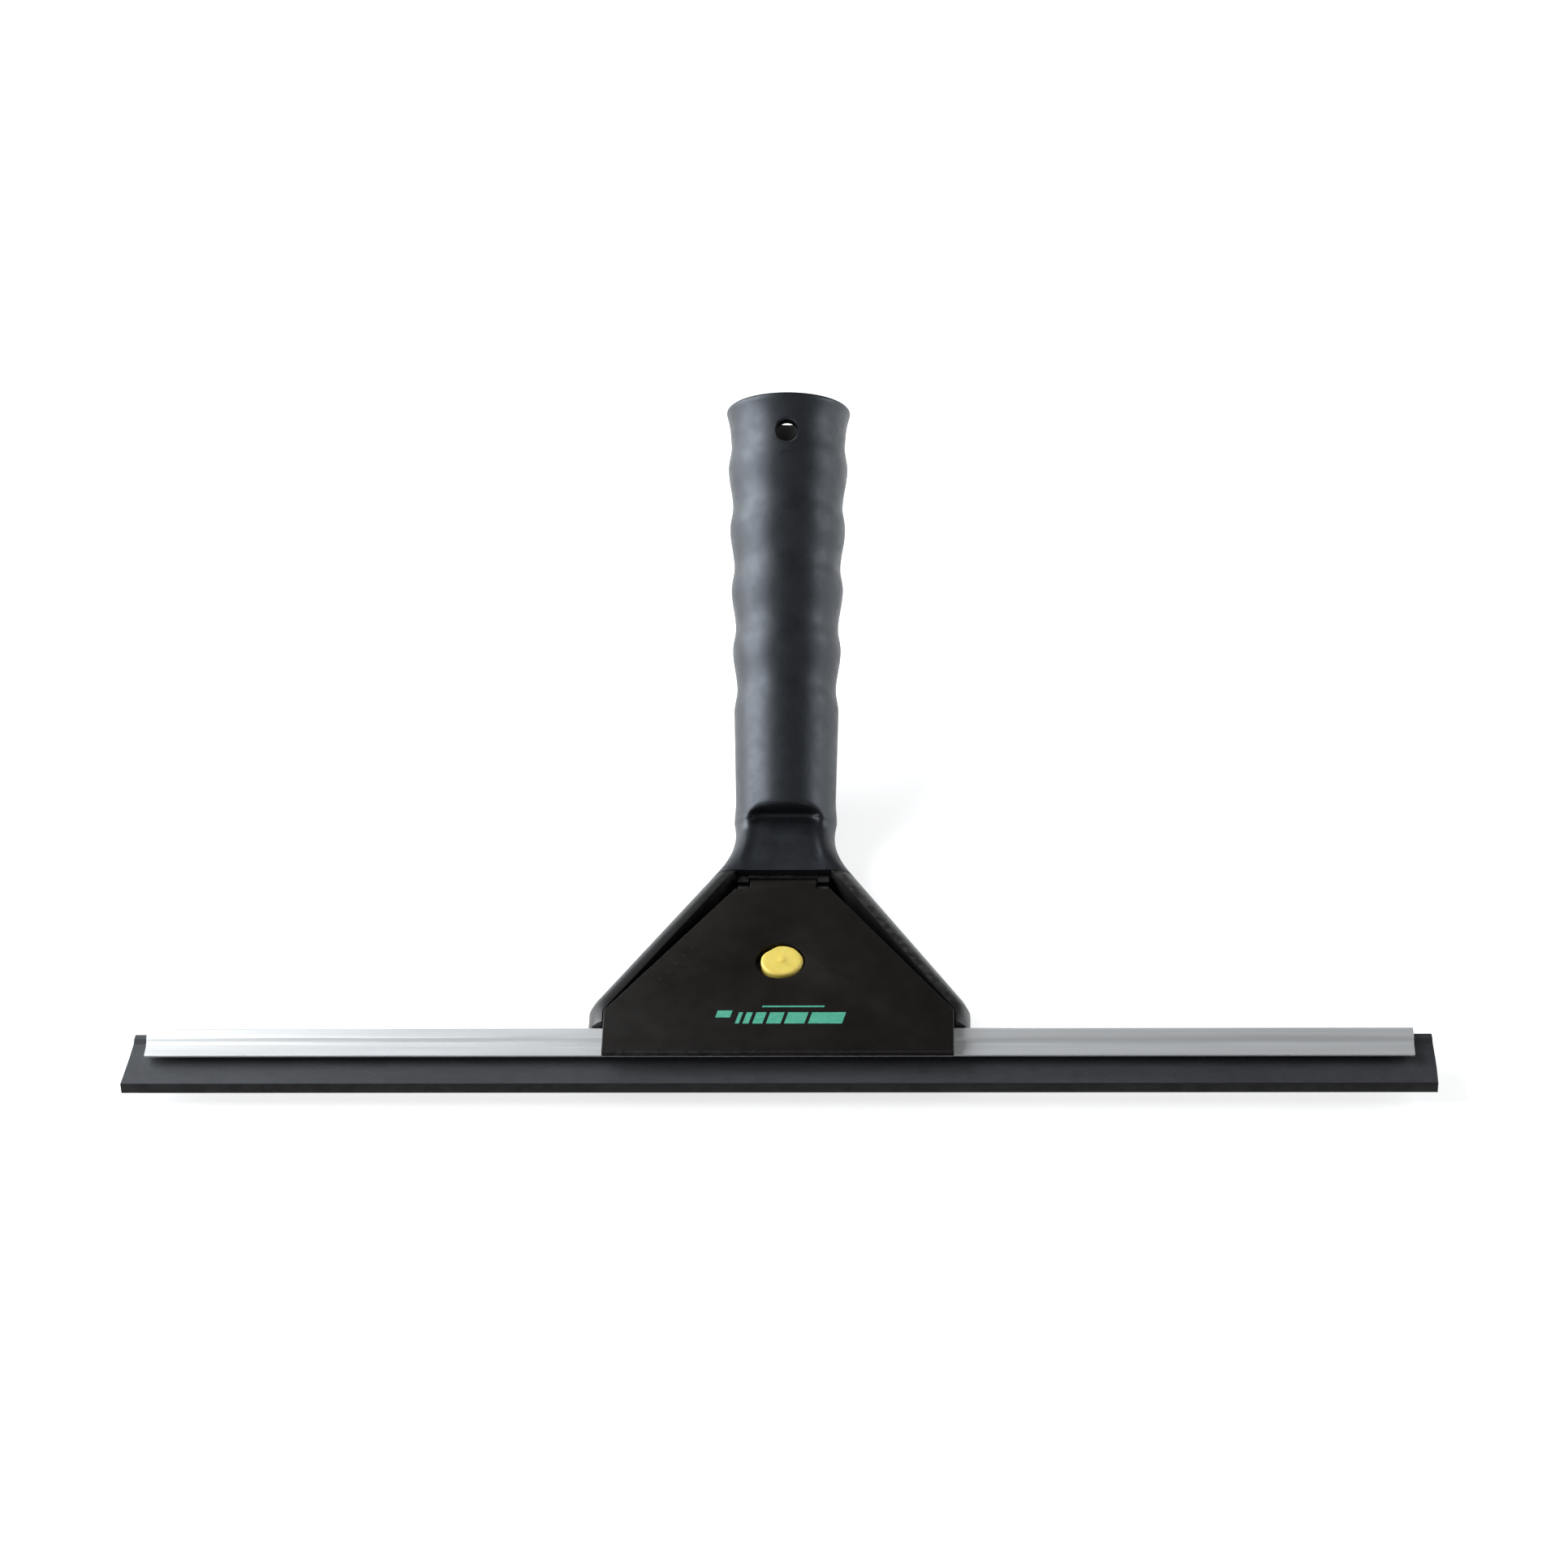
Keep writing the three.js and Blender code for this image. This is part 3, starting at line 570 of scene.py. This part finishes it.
def core_radius(along, margin=0.3):
    """The bore that the inner tube sits in, wider than the tube by a margin."""
    return CORE_RADII[0] + (CORE_RADII[1] - CORE_RADII[0]) * along / HANDLE_LENGTH + margin


def hanging_hole(name, radius, edge):
    """A rod through the handle's front wall that flares by edge, to round the rim of the hole."""
    surface = float(grip_radius(np.array(HANG_ALONG)))
    flare = [
        (radius + edge * (1 - math.cos(turn)), surface - edge + edge * math.sin(turn))
        for turn in np.linspace(0, math.pi / 2, 6)
    ]
    half = [*flare, (radius + edge, surface + 4)]
    profile = [(0, 0), (radius, 0), *half, (0, surface + 4)]
    place = HANDLE_PLACE @ Matrix.Translation((0, HANG_ALONG, 0)) @ Matrix.Rotation(math.pi / 2, 4, "X")
    return turned(name, profile, place, 48)


def grip():
    """One skin through all the cross-sections, hollowed out for the inner tube and tongue."""
    rings = [section(centre, lean) for centre, lean in grip_stations()]
    points = np.concatenate(rings)
    faces = []
    for row in range(len(rings) - 1):
        for step in range(AROUND):
            here, there = row * AROUND, (row + 1) * AROUND
            beside = (step + 1) % AROUND
            faces.append((here + step, here + beside, there + beside, there + step))
    last = (len(rings) - 1) * AROUND
    faces.append(tuple(range(AROUND))[::-1])
    faces.append(tuple(range(last, last + AROUND)))
    made = mesh_object("grip", points.tolist(), faces)
    edit(made, outward)

    end = HANDLE_LENGTH
    rim = core_radius(end)
    tube = [
        (0, 2.7),
        (core_radius(2.7), 2.7),
        (core_radius(end - 1), end - 0.75),
        (rim + 0.12, end - 0.3),
        (rim + 0.5, end + 0.02),
        (rim + 0.5, end + 3),
        (0, end + 3),
    ]
    hollow = turned("hollow", tube, HANDLE_PLACE, 96)
    carve(made, hollow, box("tongue", *TONGUE), hanging_hole("hole", HANG_RADIUS, 0.45), mould_mark())
    finished(made, GRIP, "handle", "grip_sleeve", angle=50)


def mould_mark():
    """A tool for the faint ring that the mould's ejector pin left below the hanging hole."""
    inner, outer = MARK_RADII
    half = 3
    surface = float(grip_radius(np.array(MARK_ALONG)))
    place = (
        Matrix.Translation(on_handle(0, MARK_ALONG, surface + half - MARK_DEPTH))
        @ HANDLE_PLACE.to_3x3().to_4x4()
        @ Matrix.Rotation(math.pi / 2, 4, "X")
    )
    profile = [(inner, -half), (outer, -half), (outer, half), (inner, half), (inner, -half)]
    return turned("ring", profile, place, 40)


# ---- Clamp flap and button ------------------------------------------------------------------

FLAP_FRONT_Z = 6.7
BUTTON = (0.5, 23.3)
BUTTON_RADIUS = 5.9
BUTTON_TOP_Z = 7.05
GATE_HEIGHT = 0.22  # of the moulding spot in the middle of the button
FLATS = ((36, 5.4), (128, 5.05))  # direction and distance of the button's two flats


def slanted_bar(low_x, high_x, low_y, high_y, low_z, high_z, slant=0.25):
    """A flat bar whose ends lean over towards +X."""
    lean = slant * (high_y - low_y)
    outline = [(low_x, low_y), (high_x, low_y), (high_x + lean, high_y), (low_x + lean, high_y)]
    return prism("bar", outline, low_z, high_z)


def flap_print():
    """A plain graphic of bars in printed ink, just proud of the flap."""
    levels = FLAP_FRONT_Z - 0.02, FLAP_FRONT_Z + 0.03
    spans = [(8.2, 17.6), (1.6, 7.2), (-3.4, 0.6), (-7.2, -4.4), (-9.9, -8.2), (-12, -10.9)]
    bars = [slanted_bar(start, end, -1.5, 2.9, *levels) for start, end in spans]
    bars.append(slanted_bar(-17.5, -13.4, 0.9, 3.6, *levels))
    bars.append(slanted_bar(-4.6, 12.6, 4.9, 5.5, *levels))
    return bars


def flap_ticks():
    """Small raised moulding marks along the flap's left edge."""
    marks = []
    turn = Matrix.Rotation(math.radians(-35), 4, "Z")
    origin = Matrix.Translation(HEAD)
    for step in range(5):
        mark = box("mark", (-1.5, -0.13, FLAP_FRONT_Z - 0.1), (1.5, 0.13, FLAP_FRONT_Z + 0.14))
        middle = Vector((-32.6 + 2.2 * step, 15.6 + 3.1 * step, 0))
        mark.data.transform(origin @ Matrix.Translation(middle * MM) @ turn @ origin.inverted())
        marks.append(mark)
    return marks


def joined_pieces(name, pieces):
    """One object made of several."""
    with bpy.context.temp_override(
        active_object=pieces[0], selected_editable_objects=pieces, selected_objects=pieces
    ):
        bpy.ops.object.join()
    pieces[0].name = name
    return pieces[0]


def clamp_flap():
    """The front jaw with its moulding marks and its printed bars."""
    flap = from_node("front_jaw", "clamp_flap")
    soften(flap, 0.22)
    finished(flap, FLAP, "flap", "clamp_flap")
    marks = joined_pieces("flap_marks", flap_ticks())
    soften(marks, 0.08, 2)
    finished(marks, FLAP, "flap")
    finished(joined_pieces("flap_print", flap_print()), PRINT, "flap", angle=30)


def release_button():
    """A hollow, flanged cap with a rounded shoulder, a spot in its middle and two flats."""
    shoulder = [
        (BUTTON_RADIUS - 0.9 * (1 - math.cos(turn)), BUTTON_TOP_Z - 0.75 * (1 - math.sin(turn)))
        for turn in np.linspace(0, 1.45, 8)
    ]
    crown = [(radius, BUTTON_TOP_Z - 0.0016 * radius**2) for radius in (4.2, 3.2, 2.2, 1.25)]
    gate = [
        (0.95, BUTTON_TOP_Z + 0.08),
        (0.6, BUTTON_TOP_Z + 0.2),
        (0.25, BUTTON_TOP_Z + GATE_HEIGHT),
        (0, BUTTON_TOP_Z + GATE_HEIGHT),
    ]
    skirt = [(0, 4.5), (4.4, 4.5), (4.4, -1.2), (7, -1.2), (7, 1.3), (BUTTON_RADIUS, 1.3)]
    button = turned("button", [*skirt, *shoulder, *crown, *gate], upright_front(*BUTTON), 72)
    flats = []
    for degrees, depth in FLATS:
        flat = box("flat", (depth, -8, 4.2), (depth + 4, 8, 9))
        origin = Matrix.Translation(HEAD + Vector((*BUTTON, 0)) * MM)
        turn = Matrix.Rotation(math.radians(degrees), 4, "Z")
        flat.data.transform(origin @ turn @ Matrix.Translation(-HEAD))
        flats.append(flat)
    carve(button, *flats)
    soften(button, 0.3, 4, 40)
    finished(button, YELLOW, "button", "release_button", angle=40)


# ---- Channel and blade ----------------------------------------------------------------------


def fillet(outline, radius, steps=4):
    """Rounds the corners of a closed outline of 2-D points."""
    rounded = []
    count = len(outline)
    for index in range(count):
        corner = np.array(outline[index], float)
        before = np.array(outline[index - 1], float) - corner
        after = np.array(outline[(index + 1) % count], float) - corner
        reach = min(radius, 0.42 * np.linalg.norm(before), 0.42 * np.linalg.norm(after))
        start = corner + before / np.linalg.norm(before) * reach
        end = corner + after / np.linalg.norm(after) * reach
        for part in np.linspace(0, 1, steps + 1):
            spot = (1 - part) ** 2 * start + 2 * part * (1 - part) * corner + part**2 * end
            rounded.append((float(spot[0]), float(spot[1])))
    return rounded


def mirrored_loop(outside, inside=()):
    """A closed (y, z) loop from one side's [z, y] points, listed down outside and up inside."""
    half = [*outside, *inside]
    loop = half + [(-z, y) for z, y in reversed(half) if z > 0]
    return [(y, z) for z, y in loop]


def channel():
    """A satin extrusion with a wide slot for the blade's bead and two flared skirts."""
    outside = [
        (0, 0), (3.2, 0), (3.7, -0.2), (3.9, -0.7), (3.9, -3.5), (3.75, -4.1),
        (3.1, -5), (3, -5.8), (3.2, -7), (4.1, -11), (3.9, -11.2),
    ]
    inside = [
        (3.3, -11.1), (2.3, -7), (2.1, -5.7), (2.3, -4.7), (3, -3.9), (3, -1.1), (2.8, -0.9), (0, -0.9),
    ]
    low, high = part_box("channel")
    made = prism(
        "aluminium_channel", fillet(mirrored_loop(outside, inside), 0.35), low.x / MM, high.x / MM, "X"
    )
    round_edges(made, 0.12, 2, 60)
    finished(made, ALUMINIUM, "channel", "channel", angle=40)


def rubber_blade():
    """A beaded strip whose ends are cut back from the lip towards the bead."""
    side = [
        (0, -1.3), (2.4, -1.3), (2.6, -1.6), (2.6, -3.1), (1.6, -4.3), (1.5, -6), (1.4, -10),
        (1.5, -14), (1.8, -19.7), (1.8, -19.9), (0, -19.9),
    ]
    low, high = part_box("rubber_blade")
    outline = fillet(mirrored_loop(side), 0.16, 3)
    made = prism("blade", outline, low.x / MM, high.x / MM, "X")
    for vertex in made.data.vertices:
        part = (vertex.co.y - low.y) / (high.y - low.y)
        cut_back = 2.6 * part if vertex.co.x < 0 else 1.0 * part**2
        vertex.co.x -= math.copysign(cut_back * MM, vertex.co.x)
    round_edges(made, 0.2, 3, 50)
    finished(made, RUBBER, "blade", "rubber_blade", angle=35)


# ---- Springs --------------------------------------------------------------------------------


def button_spring():
    """A coil spring whose end turns lie flat."""
    low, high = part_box("button_spring")
    wire = 0.45
    turns, per_turn, sides = 5, 28, 10
    start, end = (low.z - HEAD.z) / MM + wire, (high.z - HEAD.z) / MM - wire
    coil = (high.x - low.x) / MM / 2 - wire
    middle = ((high.x + low.x) / 2 / MM, ((high.y + low.y) / 2 - HEAD.y) / MM)
    points, faces = [], []
    rows = turns * per_turn + 1
    for row in range(rows):
        part = row / (rows - 1)
        angle = 2 * math.pi * turns * part
        closing = 0.35 * float(smooth((part - 0.12) / 0.76)) + 0.65 * part
        level = start + (end - start) * closing
        out = Vector((math.cos(angle), math.sin(angle), 0))
        centre = Vector((*middle, level)) + out * coil
        for step in range(sides):
            turn = 2 * math.pi * step / sides
            points.append(centre + out * wire * math.cos(turn) + Vector((0, 0, wire * math.sin(turn))))
    for row in range(rows - 1):
        for step in range(sides):
            here, beside = row * sides + step, row * sides + (step + 1) % sides
            faces.append((here, beside, beside + sides, here + sides))
    faces += [tuple(range(sides)), tuple(range((rows - 1) * sides, rows * sides))]
    made = mesh_object("return_spring", points, faces)
    edit(made, outward)
    finished(made, SPRING, "handle", "button_spring")
    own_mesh(made)


def flap_spring():
    """A bent steel strip with a hole for a stud at its foot."""
    foot = -3.2
    line = [
        (52, foot), (49, foot), (46, foot), (44.4, foot + 0.35), (43, foot + 1.5), (39.8, 2.4),
        (38.6, 3.3), (37.2, 3.65), (35.6, 3.5), (34, 2.9),
    ]
    knots = np.array([line[0], *line, line[-1]])
    path = []
    for index in range(1, len(knots) - 2):
        a, b, c, d = knots[index - 1 : index + 3]
        for part in np.linspace(0, 1, 5)[:-1]:
            path.append(
                0.5 * (2 * b + (c - a) * part + (2 * a - 5 * b + 4 * c - d) * part**2
                       + (3 * b - a - 3 * c + d) * part**3)
            )
    path.append(knots[-2])
    path = np.array(path)
    run = np.gradient(path, axis=0)
    run /= np.linalg.norm(run, axis=1)[:, None]
    across = np.stack([-run[:, 1], run[:, 0]], -1) * 0.25
    outline = [tuple(p) for p in path + across] + [tuple(p) for p in (path - across)[::-1]]
    made = prism("lift_spring", outline, -3.5, 3.5, "X")
    stud = turned("stud", [(0, -3), (1.5, -3), (1.5, 3), (0, 3)], upright_front(0, 47.5, foot), 32)
    carve(made, stud)
    round_edges(made, 0.06, 2, 50)
    finished(made, SPRING, None, "flap_spring", angle=30)
    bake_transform(made)


# ---- Pieces that keep the frame's shape, with rounded edges ---------------------------------


def refined_pieces():
    """Copies of the stiff CAD nodes, each with its own material and edge radius."""
    rows = [
        ("frame_body", "handle_core", FRAME, "hard_plastic", 0.3),
        ("rear_cover", "back_cover", COVER, "hard_plastic", 0.2),
        ("pin", "hinge_pin", BLACK_STEEL, "steel", 0.25),
        ("pad_left", "jaw_pad_left", RUBBER, "pad_rubber", 0.2),
        ("pad_right", "jaw_pad_right", RUBBER, "pad_rubber", 0.2),
    ]
    rows += [(f"screw_{n}", f"cover_screw_{n}", STEEL, "steel", 0.08) for n in range(1, 5)]
    for name, node, paint, slot, width in rows:
        piece = from_node(name, node)
        soften(piece, width)
        finished(piece, paint, "handle", node)


# ---- Stage ----------------------------------------------------------------------------------

# The camera's aim and distance are in metres, its lens and sensor in millimetres.

AIM = Vector((0.00159, -0.04364, 0.05871))
AZIMUTH = math.radians(2.531)
ELEVATION = math.radians(42.739)
ROLL = math.radians(1.849)
DISTANCE = 1.8066
LENS = 149.87
SENSOR = 36.0


def add_camera():
    """A long lens that looks down at the head from in front."""
    back = Vector(
        (
            math.sin(AZIMUTH) * math.cos(ELEVATION),
            -math.cos(AZIMUTH) * math.cos(ELEVATION),
            math.sin(ELEVATION),
        )
    )
    level = Vector((math.cos(AZIMUTH), math.sin(AZIMUTH), 0))
    above = back.cross(level)
    right = level * math.cos(ROLL) - above * math.sin(ROLL)
    up = above * math.cos(ROLL) + level * math.sin(ROLL)
    data = bpy.data.cameras.new("camera")
    data.lens, data.sensor_width, data.clip_start, data.clip_end = LENS, SENSOR, 0.05, 20
    camera = bpy.data.objects.new("camera", data)
    bpy.context.scene.collection.objects.link(camera)
    turn = Matrix((right, up, back)).transposed()
    camera.matrix_world = Matrix.Translation(AIM + back * DISTANCE) @ turn.to_4x4()
    bpy.context.scene.camera = camera


def add_light(name, place, target, width, height, power, colour=(1, 1, 1)):
    """A rectangular light at a place, turned to a target, with a power in watts."""
    data = bpy.data.lights.new(name, "AREA")
    data.shape, data.size, data.size_y = "RECTANGLE", width, height
    data.energy, data.color = power, colour
    light = bpy.data.objects.new(name, data)
    bpy.context.scene.collection.objects.link(light)
    aim = Vector(target) - Vector(place)
    light.matrix_world = Matrix.Translation(place) @ aim.to_track_quat("-Z", "Y").to_matrix().to_4x4()


def add_stage():
    """A white floor, a dim white world and three soft lights."""
    bpy.ops.mesh.primitive_plane_add(size=12, location=(0, 0, 0))
    floor = bpy.context.object
    floor.name = "floor"
    paint = Paint("floor_white", roughness=0.9, specular=0.1)
    paint.colour(paint.blend(paint.spread(paint.noise(40), 0, 1), (0.80, 0.80, 0.80), (0.83, 0.83, 0.83)))
    paint.shader.inputs["Emission Color"].default_value = (1, 1, 1, 1)
    paint.shader.inputs["Emission Strength"].default_value = 0.72
    floor.data.materials.append(paint.material)

    world = bpy.data.worlds.new("studio")
    world.use_nodes = True
    world.node_tree.nodes["Background"].inputs["Color"].default_value = (1, 1, 1, 1)
    world.node_tree.nodes["Background"].inputs["Strength"].default_value = 0.09
    bpy.context.scene.world = world
    bpy.context.scene.view_settings.view_transform = "Standard"

    cool = (0.92, 0.96, 1.0)
    tool = (0, 0.02, 0.05)
    add_light("left_softbox", (-0.95, 0.22, 0.50), tool, 1.15, 1.0, 25, cool)
    add_light("right_softbox", (1.05, 0.24, 0.42), tool, 0.7, 0.6, 4.8, cool)
    add_light("front_top", (0.1, -1.4, 1.7), (0, 0, 0), 2.8, 2.0, 4)


add_camera()
add_stage()
grip()
refined_pieces()
clamp_flap()
release_button()
channel()
rubber_blade()
button_spring()
flap_spring()
